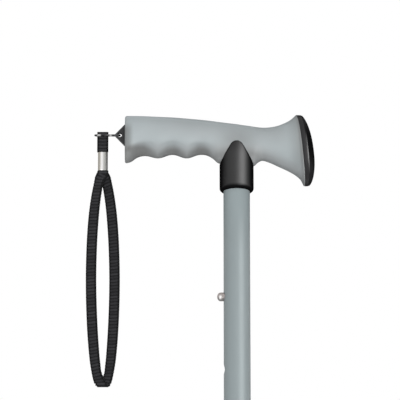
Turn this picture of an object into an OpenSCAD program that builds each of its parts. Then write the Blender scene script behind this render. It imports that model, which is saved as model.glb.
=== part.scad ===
// Folding cane with a gel palm handle, a height slide and three cord-held folding joints.
// Frame: mm, +Z up, floor at z = 0, shaft axis on Z, flared heel of the handle towards +X, front at -Y.

/* [Shaft] */
// Outside diameter of the shaft tubes
tube_d = 19.05; // [16:0.05:25]
// Wall of the shaft tubes
tube_wall = 1.2; // [0.8:0.1:2]
// Length of upper tube seen between the end collar and the neck
upper_seen = 221.1; // [200:0.1:300]
// Outside diameter of the inner height tube
adjust_d = 16.2; // [13:0.1:22]
// Wall of the inner height tube
adjust_wall = 1.1; // [0.8:0.1:2]
// Length of the height tube above the button
adjust_over = 28; // [15:1:60]
// Distance between the folding joints
section_len = 190; // [150:1:260]
// Height of the lowest folding joint above the floor
last_len = 172; // [120:1:260]

/* [Height buttons] */
// Number of adjustment holes
hole_count = 3; // [2:1:4]
// Distance between adjustment holes
hole_pitch = 53; // [20:1:60]
// Depth of the top hole below the neck
hole_drop = 78.1; // [60:0.1:100]
// Diameter of the adjustment holes
hole_d = 7.6; // [6:0.1:10]
// Diameter of the snap button
button_d = 6.4; // [5:0.1:9]
// Height of the button above the tube
button_rise = 4.7; // [3:0.1:6]
// Width of the leaf spring
leaf_w = 7; // [4:0.1:9]
// Thickness of the leaf spring
leaf_t = 0.6; // [0.4:0.1:1]
// Length of the leaf spring below the button
leaf_len = 34; // [20:1:45]

/* [Folding joints] */
// Diameter of the joint collars
collar_d = 21.5; // [20:0.1:28]
// Height of a plug collar
plug_collar_h = 5; // [3:0.5:10]
// Height of a socket collar
socket_collar_h = 6; // [4:0.5:12]
// Length of the tapered plug in its socket
taper_len = 13.7; // [10:0.1:16]
// Diameter of the taper at the joint
taper_d = 16; // [14:0.1:17]
// Diameter of the taper at its nose
taper_nose_d = 6.4; // [6:0.1:7]
// Length of a plug pressed into its tube
plug_root = 22; // [12:1:40]
// Length of a socket pressed into its tube
socket_root = 18; // [12:1:40]
// Height of the lip of the end collar below its tube
collar_lip_h = 4; // [2:0.5:8]
// Length of the end collar over its tube
collar_sleeve_h = 8; // [4:0.5:20]
// Diameter of the elastic cord
cord_d = 4; // [3:0.1:5]
// Diameter of the knots in the cord
knot_d = 9; // [6:0.1:11]
// Length of the cord anchors
anchor_h = 10; // [6:0.5:20]

/* [Handle] */
// Handle from the shaft axis to its front end
grip_front = 80.6; // [65:0.1:100]
// Handle from the shaft axis to its heel
grip_back = 45.9; // [40:0.1:60]
// Height of the handle above the bottom of the neck
grip_rise = 57.1; // [52:0.1:66]
// Width of the heel
heel_w = 41.2; // [36:0.1:48]
// Tilt of the heel
heel_tilt = 6; // [0:0.5:9]
// Depth of the finger grooves
groove_depth = 2.1; // [1:0.1:3.5]
// Distance between the finger grooves
groove_pitch = 20.5; // [17:0.1:21]
// First finger groove from the front end
groove_first = 13.9; // [12:0.1:16]
// Diameter of the neck
neck_d = 24.6; // [23:0.1:30]
// Height of the straight side of the neck
neck_h = 19.8; // [16:0.1:26]
// Rise of the pointed arch above the side of the neck
arch_rise = 15.3; // [10:0.1:18]
// Radius of the point of the arch
arch_r = 5.3; // [3:0.1:7]
// Rounding of the lower edge of the neck
neck_round = 2.5; // [1:0.1:3]
// Length of tube held in the neck
tube_held = 33; // [24:0.5:36]
// Diameter of the spine in the grip
spine_d = 12; // [9:0.1:13]
// Thickness of the rim of the end cap
cap_rim = 3.4; // [2:0.1:6]
// Height of the dome of the end cap
cap_dome = 6.2; // [3:0.1:10]
// Extra tilt of the dome of the end cap
cap_lean = 1.5; // [0:0.1:3]
// Diameter of the stem of the end cap
stem_d = 7; // [5:0.1:8]

/* [Wrist strap] */
// How far the strap tab stands out
tab_out = 7.6; // [7:0.1:10]
// Half height of the strap tab at the grip
tab_half = 8.1; // [7:0.1:10]
// Thickness of the strap tab
tab_t = 3.6; // [2.5:0.1:5]
// Diameter of the hole in the strap tab
tab_hole_d = 3.4; // [3.2:0.1:4]
// Distance from the grip to the hole in the strap tab
tab_hole_out = 3.9; // [3.5:0.1:4.5]
// Wire of the link
wire_d = 1.5; // [1.4:0.1:2]
// Length of the link
link_len = 19.1; // [16:0.1:24]
// Width of the link
link_w = 12; // [11:0.1:16]
// Width of the webbing
web_w = 7.8; // [6:0.1:8]
// Thickness of the webbing
web_t = 1.3; // [1:0.1:1.6]
// Length of the crimp
crimp_h = 13.6; // [10:0.1:20]
// Width of the crimp
crimp_w = 7.2; // [6:0.1:10]
// Depth of the crimp
crimp_t = 5; // [4.6:0.1:6]
// Distance from the link to the crimp
crimp_drop = 13.3; // [10:0.1:16]
// Drop of the wrist loop below the crimp
loop_drop = 158.5; // [120:0.5:220]
// Half width of the wrist loop
loop_half = 8.4; // [8:0.1:14]
// Turn of the legs of the wrist loop about their length
leg_turn = 22; // [0:1:35]
// Lean of the wrist loop towards the shaft, at its fold
loop_lean = 1.15; // [0:0.05:3]

/* [Tip] */
// Diameter of the tip on the floor
tip_d = 36; // [30:0.5:42]
// Height of the tip
tip_h = 46; // [38:0.5:60]
// Diameter of the neck of the tip
tip_neck_d = 25.4; // [24:0.1:28]
// Thickness of rubber under the washer
tip_floor = 12; // [9:0.5:16]
// Depth of the tread
tread_depth = 2; // [1:0.1:3]
// Thickness of the washer
washer_t = 2; // [1:0.1:3]

/* [Hidden] */
$fn = 64;

// overrun of every cut, clearance of seats, running clearance, gap between moving faces
over = 1;
seat_fit = 0.04;
run_fit = 0.15;
face_gap = 0.3;
taper_fit = 0.15;
cord_slack = 0.5;
boss_wall = 1.1;
boss_margin = 0.9;
layer_gap = 0.5;
cap_seat = 0.05;
button_slack = 0.1;
rib_depth = 0.8;

tube_r = tube_d / 2;
bore_r = tube_r - tube_wall;
adjust_r = adjust_d / 2;
adjust_bore_r = adjust_r - adjust_wall;
collar_r = collar_d / 2;
cord_r = cord_d / 2;
cord_hole_r = cord_r + cord_slack;

// heights of the folding joints, of the upper tube and of the neck
joint_3_z = last_len;
joint_2_z = joint_3_z + section_len;
joint_1_z = joint_2_z + section_len;
upper_z = joint_1_z + plug_collar_h + face_gap + collar_lip_h;
neck_z = upper_z + upper_seen;
button_z = neck_z - hole_drop;
hang_pivot_drop = 4.9;
anchor_top_z = button_z - leaf_len - knot_d * 2 - anchor_h;
anchor_bottom_z = tip_floor + washer_t + knot_d * 1.5;

// profiles of the grip: position shares (-1 front end, 0 shaft axis, 1 heel), value shares of the rise
top_shares = [[-1, 0.989], [-0.82, 0.98], [-0.52, 0.958], [-0.24, 0.922], [0, 0.883], [0.2, 0.858], [0.4, 0.832],
    [0.52, 0.834], [0.65, 0.851], [0.78, 0.886], [0.87, 0.919], [0.94, 0.957], [1, 0.991]];
low_shares = [[-1, 0.383], [-0.95, 0.404], [-0.9, 0.436], [-0.827, 0.439], [-0.7, 0.457], [-0.573, 0.455],
    [-0.446, 0.456], [-0.319, 0.455], [-0.25, 0.462], [-0.21, 0.445], [-0.16, 0.386], [0, 0.36], [0.27, 0.348],
    [0.33, 0.392], [0.4, 0.421], [0.52, 0.394], [0.65, 0.343], [0.76, 0.298], [0.87, 0.245], [0.94, 0.196],
    [0.975, 0.155], [1, 0.092]];
side_shares = [[-1, 0.655], [-0.93, 0.7], [-0.75, 0.728], [-0.5, 0.709], [-0.25, 0.64], [0, 0.56],
    [0.33, 0.58], [0.52, 0.641], [0.7, 0.738], [0.83, 0.84], [0.94, 0.951], [1, 1]];
tilt_shares = [[-1, 0], [0.2, 0], [0.6, 0.4], [0.85, 0.85], [1, 1]];
end_shares = [[0, 0.93], [0.25, 0.975], [1, 1]];
belly_share = 0.52;
round_power = 2.3;
groove_power = 2;
// how far the finger grooves are scooped in at the sides, and between which drops from the widest line
scoop_share = 0.28;
scoop_shares = [0.5, 0.8];
end_round = 1.6;
grip_sides = 32;
spine_z = neck_z + grip_rise * 0.653;
tab_z = neck_z + grip_rise * 0.7443;
boss_r = tube_r + boss_wall;
boss_top = neck_z + grip_rise * 0.66;
front_boss_r = tab_half + boss_margin;
front_boss_len = 14;
front_skin = 2;
shank_half = tab_half * 0.62;
shank_len = 11;
spine_back = grip_back * 0.8;
stem_in = 9;

// wrist strap
wire_r = wire_d / 2;
link_corner = wire_d * 1.02;
link_x = -grip_front - tab_hole_out - link_len / 2 + wire_r;
link_tilt = 16;
strap_x = link_x - link_len / 2 + wire_r + link_corner + web_w / 2;
link_reach = link_w / 2 - wire_r;
strap_y = link_reach * cos(link_tilt);
strap_z = tab_z + link_reach * sin(link_tilt);
layer_off = web_t / 2 + layer_gap / 2;
eye_r = wire_r + face_gap + web_t / 2;
crimp_top = strap_z - crimp_drop;
crimp_low = crimp_top - crimp_h;
route_shares = [[0, 0], [0, 0.012], [0.17, 0.03], [0.31, 0.055], [0.48, 0.1], [0.66, 0.162], [0.8, 0.234],
    [0.9, 0.31], [0.965, 0.395], [1, 0.5], [0.985, 0.59], [0.94, 0.67], [0.865, 0.755], [0.76, 0.83],
    [0.62, 0.9], [0.4, 0.96], [0.17, 0.991]];
turn_shares = [[0, 0], [0.02, 0], [0.16, 1], [0.5, 1], [0.84, 1], [0.98, 0], [1, 0]];
turn_angles = [-75, -45, -15, 15, 45, 75];

function clamp01(t) = max(0, min(1, t));
function slope_at(p, i) =
    let(a = max(i - 1, 0), b = min(i + 1, len(p) - 1))
    (p[b][1] - p[a][1]) / (p[b][0] - p[a][0]);
function span_of(p, x, i = 0) = (i >= len(p) - 2 || x < p[i + 1][0]) ? i : span_of(p, x, i + 1);
// smooth curve through the points of p
function curve(p, x) =
    let(
        i = span_of(p, x),
        h = p[i + 1][0] - p[i][0],
        t = clamp01((x - p[i][0]) / h),
        u = 1 - t
    )
    p[i][1] * u * u * (1 + 2 * t) + p[i + 1][1] * t * t * (1 + 2 * u)
    + slope_at(p, i) * h * t * u * u - slope_at(p, i + 1) * h * t * t * u;

// 0 on the ridges between the fingers, 1 in the middle of a finger groove
function groove(x) =
    let(k = (x + grip_front - groove_first) / groove_pitch)
    (k < -0.5 || k > 2.5) ? 0 : 0.5 + 0.5 * cos(360 * k);
function place(s) = s < 0 ? s * grip_front : s * grip_back;
function power(v, n) = sign(v) * pow(abs(v), 2 / n);
function soft_step(t, low, high) = let(u = clamp01((t - low) / (high - low))) u * u * (3 - 2 * u);

// one ring of the handle at position share s, drawn in by inset, moved along X by shift, leaning more by turn
function grip_ring(s, inset, shift, sides, turn = 0) =
    let(
        x = place(s),
        g = groove(x),
        top = grip_rise * curve(top_shares, s),
        low = grip_rise * curve(low_shares, s) + groove_depth * g,
        mid = low + (top - low) * belly_share,
        half = heel_w / 2 * curve(side_shares, s),
        lean = tan(heel_tilt) * curve(tilt_shares, s) + tan(turn),
        low_power = round_power + (groove_power - round_power) * g
    )
    [for (k = [0:sides - 1])
        let(
            a = 360 * k / sides,
            n = sin(a) < 0 ? low_power : round_power,
            rise = sin(a) < 0 ? mid - low : top - mid,
            drop = power(sin(a), n),
            scoop = scoop_share * g * soft_step(-drop, scoop_shares[0], scoop_shares[1]),
            z = mid + inset * rise * drop,
            y = inset * half * power(cos(a), n) * (1 - scoop)
        )
        [x + shift - lean * (z - (top + low) / 2), y, neck_z + z]];

// faces of a closed tube of rings, each with the same number of points
function ring_faces(count, sides) = concat(
    [[for (k = [0:sides - 1]) k]],
    [for (i = [0:count - 2], k = [0:sides - 1])
        [i * sides + k, (i + 1) * sides + k, (i + 1) * sides + (k + 1) % sides]],
    [for (i = [0:count - 2], k = [0:sides - 1])
        [i * sides + k, (i + 1) * sides + (k + 1) % sides, i * sides + (k + 1) % sides]],
    [[for (k = [sides - 1:-1:0]) (count - 1) * sides + k]]);

// outline of a strip of thickness t along points p
function strip(p, t) =
    let(
        last = len(p) - 1,
        dirs = [for (i = [0:last]) let(d = p[min(i + 1, last)] - p[max(i - 1, 0)]) d / norm(d)],
        side = [for (d = dirs) [-d[1], d[0]] * t / 2]
    )
    concat([for (i = [0:last]) p[i] + side[i]], [for (i = [last:-1:0]) p[i] - side[i]]);

module ring_solid(outer, inner, low, high) {
    translate([0, 0, low])
        difference() {
            cylinder(r = outer, h = high - low);
            translate([0, 0, -over])
                cylinder(r = inner, h = high - low + over * 2);
        }
}

// arch outline in XZ, grown by gap
module arch_prism(gap) {
    flank_z = neck_z + neck_h;
    point_z = flank_z + arch_rise - arch_r;
    wide = neck_d / 2 + over;
    run = neck_d / 2 - arch_r * 0.85;
    drop = point_z + arch_r * 0.52 - flank_z;
    translate([0, neck_d, 0])
        rotate([90, 0, 0])
            linear_extrude(height = neck_d * 2) {
                translate([0, point_z])
                    circle(r = arch_r + gap);
                polygon([
                    [-wide - gap, neck_z - over],
                    [wide + gap, neck_z - over],
                    [wide + gap, flank_z - over * drop / run + gap],
                    [arch_r * 0.85 + gap * 0.85, flank_z + drop + gap * 0.52],
                    [-arch_r * 0.85 - gap * 0.85, flank_z + drop + gap * 0.52],
                    [-wide - gap, flank_z - over * drop / run + gap]]);
            }
}

// body of the core without its bores, grown by gap: neck, boss on the tube, spine and front boss
module core_body(gap) {
    intersection() {
        translate([0, 0, neck_z])
            rotate_extrude()
                polygon(concat(
                    [[0, 0]],
                    [for (a = [-90:15:0])
                        [neck_d / 2 + gap - neck_round + neck_round * cos(a), neck_round + neck_round * sin(a)]],
                    [[neck_d / 2 + gap, grip_rise], [0, grip_rise]]));
        arch_prism(gap);
    }
    translate([0, 0, neck_z + neck_round])
        cylinder(r = boss_r + gap, h = boss_top - neck_z - neck_round + gap);
    translate([-grip_front + front_skin + over, 0, spine_z])
        rotate([0, 90, 0])
            cylinder(d = spine_d + gap * 2, h = grip_front - front_skin - over + spine_back + gap);
    translate([-grip_front + front_skin - gap, 0, tab_z])
        rotate([0, 90, 0])
            cylinder(r = front_boss_r + gap, h = front_boss_len + gap * 2);
}

// opening in the gel that shows the arch of the core
module arch_window(gap) {
    intersection() {
        arch_prism(gap);
        translate([-neck_d / 2 - gap, -neck_d, neck_z - over])
            cube([neck_d + gap * 2, neck_d * 2, grip_rise]);
    }
}

// strap tab outline in XZ, grown by gap
module tab_shape(gap) {
    root_x = -grip_front + front_skin - face_gap;
    shank_x = -grip_front + front_skin + shank_len + gap;
    difference() {
        polygon([
            [root_x, tab_z - tab_half - gap],
            [-grip_front, tab_z - tab_half - gap],
            [-grip_front - tab_out - gap, tab_z],
            [-grip_front, tab_z + tab_half + gap],
            [root_x, tab_z + tab_half + gap],
            [root_x, tab_z + shank_half + gap],
            [shank_x, tab_z + shank_half + gap],
            [shank_x, tab_z - shank_half - gap],
            [root_x, tab_z - shank_half - gap]]);
        if (gap == 0)
            translate([-grip_front - tab_hole_out, tab_z])
                circle(d = tab_hole_d);
    }
}

module tab_prism(gap) {
    translate([0, tab_t / 2 + gap, 0])
        rotate([90, 0, 0])
            linear_extrude(height = tab_t + gap * 2)
                tab_shape(gap);
}

module grip_gel() {
    stations = concat(
        [for (e = end_shares) [-1 + e[0] * end_round / grip_front, e[1]]],
        [for (s = [-0.955:0.031:-0.12]) [s, 1]],
        [for (s = [-0.06, 0.08, 0.2, 0.3, 0.37, 0.44, 0.52, 0.6, 0.68, 0.76, 0.83, 0.89, 0.94, 0.97, 1]) [s, 1]]);
    color([0.60, 0.63, 0.64])
        difference() {
            polyhedron(
                points = [for (s = stations, p = grip_ring(s[0], s[1], 0, grip_sides)) p],
                faces = ring_faces(len(stations), grip_sides));
            core_body(seat_fit);
            arch_window(seat_fit);
            tab_prism(seat_fit);
            translate([spine_back, 0, spine_z])
                rotate([0, 90, 0])
                    cylinder(d = stem_d + seat_fit * 2, h = grip_back);
        }
}

module handle_core() {
    color([0.07, 0.07, 0.075])
        difference() {
            core_body(0);
            translate([0, 0, neck_z - over])
                cylinder(r = tube_r + seat_fit, h = tube_held + over);
            tab_prism(seat_fit);
            translate([spine_back - stem_in - face_gap, 0, spine_z])
                rotate([0, 90, 0])
                    cylinder(d = stem_d + seat_fit * 2, h = stem_in + face_gap + over);
        }
}

module end_cap() {
    rings = concat(
        [[cap_seat, 1, 0], [cap_rim * 0.12, 1, 0], [cap_rim, 1, 0]],
        [for (q = [0.97, 0.9, 0.8, 0.66, 0.48, 0.26])
            let(bulge = pow(1 - pow(q, 2.4), 0.62))
            [cap_rim + cap_dome * bulge, q, cap_lean * bulge]]);
    color([0.06, 0.06, 0.065])
        union() {
            polyhedron(
                points = [for (r = rings, p = grip_ring(1, r[1], r[0], grip_sides, r[2])) p],
                faces = ring_faces(len(rings), grip_sides));
            translate([spine_back - stem_in, 0, spine_z])
                rotate([0, 90, 0])
                    cylinder(d = stem_d, h = grip_back - spine_back + stem_in + cap_rim * 0.5);
        }
}

module strap_tab() {
    color([0.1, 0.1, 0.1])
        tab_prism(0);
}

module upper_tube() {
    color([0.58, 0.61, 0.62])
        difference() {
            ring_solid(tube_r, bore_r, upper_z, neck_z + tube_held - face_gap);
            for (i = [0:hole_count - 1])
                translate([0, 0, button_z - hole_pitch * i])
                    rotate([0, -90, 0])
                        cylinder(d = hole_d, h = tube_r + over);
        }
}

module end_collar() {
    color([0.08, 0.08, 0.08])
        translate([0, 0, upper_z])
            rotate_extrude()
                polygon([
                    [adjust_r + run_fit, -collar_lip_h],
                    [collar_r, -collar_lip_h],
                    [collar_r, collar_sleeve_h * 0.9],
                    [tube_r + (collar_r - tube_r) * 0.5, collar_sleeve_h],
                    [tube_r + seat_fit, collar_sleeve_h],
                    [tube_r + seat_fit, 0],
                    [adjust_r + run_fit, 0]]);
}

module adjust_tube() {
    color([0.72, 0.73, 0.74])
        difference() {
            ring_solid(adjust_r, adjust_bore_r, joint_1_z + plug_collar_h, button_z + adjust_over);
            translate([0, 0, button_z])
                rotate([0, -90, 0])
                    cylinder(d = button_d + run_fit * 2, h = adjust_r + over);
        }
}

module snap_button() {
    seat = sqrt(adjust_bore_r * adjust_bore_r - pow(button_d * 0.7, 2)) - button_slack;
    dome = button_d * 0.4;
    crown = tube_r + button_rise;
    color([0.75, 0.75, 0.75])
        translate([0, 0, button_z])
            rotate([0, -90, 0])
                rotate_extrude()
                    polygon(concat(
                        [[0, seat - leaf_t * 1.6], [button_d * 0.7, seat - leaf_t * 1.6],
                            [button_d * 0.7, seat], [button_d / 2, seat], [button_d / 2, crown - dome]],
                        [for (a = [10:10:80]) [button_d / 2 * cos(a), crown - dome + dome * sin(a)]],
                        [[0, crown]]));
}

module snap_spring() {
    seat = sqrt(adjust_bore_r * adjust_bore_r - pow(button_d * 0.7, 2)) - button_slack - leaf_t * 1.6;
    back = sqrt(adjust_bore_r * adjust_bore_r - leaf_w * leaf_w / 4) - leaf_t * 0.5 - run_fit;
    bend = adjust_bore_r * 0.3;
    color([0.6, 0.6, 0.6])
        translate([0, leaf_w / 2, button_z])
            rotate([90, 0, 0])
                linear_extrude(height = leaf_w)
                    polygon(strip(concat(
                        [[-seat + leaf_t * 0.5 + run_fit, button_d],
                            [-seat + leaf_t * 0.5 + run_fit, -button_d]],
                        [for (a = [180:30:360]) [bend * cos(a), -leaf_len + bend + bend * sin(a)]],
                        [[back, -button_d], [back, button_d]]), leaf_t));
}

module cord_anchor_top() {
    color([0.12, 0.12, 0.12])
        ring_solid(adjust_bore_r - seat_fit, cord_hole_r, anchor_top_z, anchor_top_z + anchor_h);
}

module cord_anchor_bottom() {
    color([0.12, 0.12, 0.12])
        ring_solid(bore_r - seat_fit, cord_hole_r, anchor_bottom_z, anchor_bottom_z + anchor_h);
}

// tapered plug under a tube whose bore has radius root_r, joint plane at z
module joint_plug(z, root_r) {
    nose = taper_nose_d / 2 - taper_fit;
    color([0.08, 0.08, 0.085])
        translate([0, 0, z])
            rotate_extrude()
                polygon([
                    [cord_hole_r, -taper_len + face_gap],
                    [nose, -taper_len + face_gap],
                    [taper_d / 2 - taper_fit, face_gap],
                    [collar_r, face_gap],
                    [collar_r, plug_collar_h],
                    [root_r - seat_fit, plug_collar_h],
                    [root_r - seat_fit, plug_collar_h + plug_root - over],
                    [root_r - seat_fit - over * 0.5, plug_collar_h + plug_root],
                    [cord_hole_r, plug_collar_h + plug_root]]);
}

// socket on top of a section tube, joint plane at z
module joint_socket(z) {
    color([0.08, 0.08, 0.085])
        translate([0, 0, z])
            rotate_extrude()
                polygon([
                    [taper_d / 2, 0],
                    [collar_r, 0],
                    [collar_r, -socket_collar_h],
                    [bore_r - seat_fit, -socket_collar_h],
                    [bore_r - seat_fit, -socket_collar_h - socket_root],
                    [taper_nose_d / 2, -socket_collar_h - socket_root],
                    [taper_nose_d / 2, -taper_len]]);
}

module section_tube(low, high) {
    color([0.58, 0.61, 0.62])
        ring_solid(tube_r, bore_r, low, high);
}

module cord_run(low, high) {
    color([0.15, 0.15, 0.16])
        translate([0, 0, low])
            cylinder(r = cord_r, h = high - low);
}

module joint_plug_1() {
    joint_plug(joint_1_z, adjust_bore_r);
}

module joint_socket_1() {
    joint_socket(joint_1_z);
}

module section_tube_2() {
    section_tube(joint_2_z + plug_collar_h, joint_1_z - socket_collar_h);
}

module joint_plug_2() {
    joint_plug(joint_2_z, bore_r);
}

module joint_socket_2() {
    joint_socket(joint_2_z);
}

module section_tube_3() {
    section_tube(joint_3_z + plug_collar_h, joint_2_z - socket_collar_h);
}

module joint_plug_3() {
    joint_plug(joint_3_z, bore_r);
}

module joint_socket_3() {
    joint_socket(joint_3_z);
}

module section_tube_4() {
    section_tube(tip_floor + washer_t, joint_3_z - socket_collar_h);
}

module cord_run_1() {
    top = anchor_top_z + anchor_h;
    color([0.15, 0.15, 0.16]) {
        cord_run(joint_1_z - hang_pivot_drop, top + knot_d * 0.5);
        translate([0, 0, top + knot_d * 0.5])
            sphere(d = knot_d);
    }
}

module cord_run_2() {
    cord_run(joint_2_z - hang_pivot_drop, joint_1_z - hang_pivot_drop - face_gap);
}

module cord_run_3() {
    cord_run(joint_3_z - hang_pivot_drop, joint_2_z - hang_pivot_drop - face_gap);
}

module cord_run_4() {
    color([0.15, 0.15, 0.16]) {
        cord_run(anchor_bottom_z - knot_d * 0.5, joint_3_z - hang_pivot_drop - face_gap);
        translate([0, 0, anchor_bottom_z - knot_d * 0.5])
            sphere(d = knot_d);
    }
}

module tip_washer() {
    color([0.55, 0.55, 0.55])
        ring_solid(tube_r - seat_fit, tube_r * 0.35, tip_floor, tip_floor + washer_t);
}

module rubber_tip() {
    base = tip_d / 2;
    neck = tip_neck_d / 2;
    hole = tube_r + seat_fit;
    color([0.09, 0.09, 0.09])
        rotate_extrude()
            polygon([
                [0, 0],
                [base * 0.36, 0],
                [base * 0.4, tread_depth],
                [base * 0.5, tread_depth],
                [base * 0.54, 0],
                [base * 0.66, 0],
                [base * 0.7, tread_depth],
                [base * 0.78, tread_depth],
                [base * 0.82, 0],
                [base * 0.96, 0],
                [base, tip_h * 0.03],
                [base, tip_h * 0.15],
                [base * 0.97, tip_h * 0.19],
                [neck + (base - neck) * 0.45, tip_h * 0.32],
                [neck + (base - neck) * 0.14, tip_h * 0.48],
                [neck, tip_h * 0.6],
                [neck, tip_h * 0.68],
                [neck - rib_depth, tip_h * 0.7],
                [neck - rib_depth, tip_h * 0.74],
                [neck, tip_h * 0.76],
                [neck, tip_h * 0.82],
                [neck - rib_depth, tip_h * 0.84],
                [neck - rib_depth, tip_h * 0.88],
                [neck, tip_h * 0.9],
                [neck, tip_h * 0.97],
                [neck - rib_depth, tip_h],
                [hole, tip_h],
                [hole, tip_floor],
                [0, tip_floor]]);
}

// one corner of the link about its own centre
module link_corner_piece(x, y, turn) {
    translate([x, y, 0])
        rotate([0, 0, turn])
            rotate_extrude(angle = 90)
                translate([link_corner, 0])
                    circle(r = wire_r);
}

module wire_link() {
    half_x = link_len / 2 - wire_r;
    half_y = link_reach;
    flat_x = half_x - link_corner;
    flat_y = half_y - link_corner;
    color([0.75, 0.75, 0.76])
        translate([link_x, 0, tab_z])
            rotate([link_tilt, 0, 0]) {
                for (s = [-1, 1]) {
                    translate([-flat_x, s * half_y, 0])
                        rotate([0, 90, 0])
                            cylinder(r = wire_r, h = flat_x * 2);
                    translate([s * half_x, flat_y, 0])
                        rotate([90, 0, 0])
                            cylinder(r = wire_r, h = flat_y * 2);
                }
                link_corner_piece(flat_x, flat_y, 0);
                link_corner_piece(-flat_x, flat_y, 90);
                link_corner_piece(-flat_x, -flat_y, 180);
                link_corner_piece(flat_x, -flat_y, 270);
            }
}

module strap_top_loop() {
    color([0.12, 0.12, 0.125])
        translate([strap_x - web_w / 2, strap_y, strap_z])
            rotate([90, 0, 90])
                linear_extrude(height = web_w)
                    polygon(strip(concat(
                        [[-layer_off, -crimp_drop + seat_fit], [-layer_off, -crimp_drop * 0.75],
                            [-eye_r * 0.8, -crimp_drop * 0.4]],
                        [for (a = [180:-20:0]) [eye_r * cos(a), eye_r * sin(a)]],
                        [[eye_r * 0.8, -crimp_drop * 0.4], [layer_off, -crimp_drop * 0.75],
                            [layer_off, -crimp_drop + seat_fit]]), web_t));
}

module strap_crimp() {
    color([0.78, 0.78, 0.79])
        translate([strap_x, strap_y, crimp_low]) {
            for (s = [-1, 1])
                translate([s * (crimp_w - crimp_t) / 2, 0, 0])
                    cylinder(d = crimp_t, h = crimp_h);
            translate([-(crimp_w - crimp_t) / 2, -crimp_t / 2, 0])
                cube([crimp_w - crimp_t, crimp_t, crimp_h]);
        }
}

// route of the wrist loop: down the front leg, round the fold, up the back leg; the legs turn about their length
module wrist_loop() {
    turn_z = crimp_low - loop_drop;
    down = [for (p = route_shares)
        [strap_x - p[0] * loop_half + p[1] * loop_lean, strap_y - layer_off,
            crimp_low - seat_fit - p[1] * loop_drop]];
    fold = [for (a = turn_angles)
        [strap_x + loop_lean, strap_y + layer_off * sin(a), turn_z - layer_off * cos(a)]];
    up = [for (i = [len(route_shares) - 1:-1:0])
        [strap_x + route_shares[i][0] * loop_half + route_shares[i][1] * loop_lean, strap_y + layer_off,
            crimp_low - seat_fit - route_shares[i][1] * loop_drop]];
    route = concat(down, fold, up);
    leg = [for (p = route_shares) leg_turn * curve(turn_shares, p[1])];
    turns = concat(leg, [for (a = turn_angles) 0], [for (i = [len(leg) - 1:-1:0]) -leg[i]]);
    last = len(route) - 1;
    half = web_w / 2;
    thick = web_t / 2;
    edge = thick * 0.5;
    profile = [[half, -edge], [half, edge], [half - edge, thick], [-half + edge, thick],
        [-half, edge], [-half, -edge], [-half + edge, -thick], [half - edge, -thick]];
    points = [for (i = [0:last])
        let(
            d = route[min(i + 1, last)] - route[max(i - 1, 0)],
            t = d / norm(d),
            w = [1, 0, 0] - t[0] * t,
            flat = w / norm(w),
            wide = flat * cos(turns[i]) + cross(t, flat) * sin(turns[i]),
            out = cross(t, wide)
        )
        for (q = profile) route[i] + wide * q[0] + out * q[1]];
    color([0.12, 0.12, 0.125])
        polyhedron(points = points, faces = ring_faces(len(route), len(profile)));
}

grip_gel();
handle_core();
end_cap();
strap_tab();
upper_tube();
end_collar();
adjust_tube();
snap_button();
snap_spring();
cord_anchor_top();
joint_plug_1();
joint_socket_1();
section_tube_2();
joint_plug_2();
joint_socket_2();
section_tube_3();
joint_plug_3();
joint_socket_3();
section_tube_4();
cord_anchor_bottom();
cord_run_1();
cord_run_2();
cord_run_3();
cord_run_4();
tip_washer();
rubber_tip();
wire_link();
strap_top_loop();
strap_crimp();
wrist_loop();
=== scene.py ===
import math

import bpy
import numpy as np
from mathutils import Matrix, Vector


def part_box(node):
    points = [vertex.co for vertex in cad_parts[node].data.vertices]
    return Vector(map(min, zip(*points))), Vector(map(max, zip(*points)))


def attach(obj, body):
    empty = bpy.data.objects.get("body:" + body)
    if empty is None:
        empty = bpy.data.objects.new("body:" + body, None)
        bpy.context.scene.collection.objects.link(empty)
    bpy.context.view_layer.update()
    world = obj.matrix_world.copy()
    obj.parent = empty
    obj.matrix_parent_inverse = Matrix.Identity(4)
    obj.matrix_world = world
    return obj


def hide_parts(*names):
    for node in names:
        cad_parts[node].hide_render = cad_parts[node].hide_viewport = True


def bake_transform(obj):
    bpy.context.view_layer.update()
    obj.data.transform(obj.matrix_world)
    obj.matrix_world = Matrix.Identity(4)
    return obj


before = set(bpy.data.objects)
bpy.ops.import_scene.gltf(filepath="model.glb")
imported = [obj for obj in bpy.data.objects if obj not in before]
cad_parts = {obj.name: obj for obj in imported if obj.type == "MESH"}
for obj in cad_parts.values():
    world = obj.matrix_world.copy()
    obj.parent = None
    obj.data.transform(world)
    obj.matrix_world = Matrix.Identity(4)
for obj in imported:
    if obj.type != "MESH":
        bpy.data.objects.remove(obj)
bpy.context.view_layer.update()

# Camera: the handle seen square from its front side, from a little below, through a long lens.
# It looks at a point left of the shaft, so that the strap and the heel both fit.
look_at = Vector((-0.0264, 0.0, 0.7763))
below = math.radians(16)
away = 2.5
camera_data = bpy.data.cameras.new("camera")
camera_data.sensor_width = 36
camera_data.lens = 312.5
camera_data.clip_end = 50
camera = bpy.data.objects.new("camera", camera_data)
camera.location = look_at + away * Vector((0, -math.cos(below), -math.sin(below)))
camera.rotation_euler = (look_at - camera.location).to_track_quat("-Z", "Y").to_euler()
bpy.context.scene.collection.objects.link(camera)
bpy.context.scene.camera = camera

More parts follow.
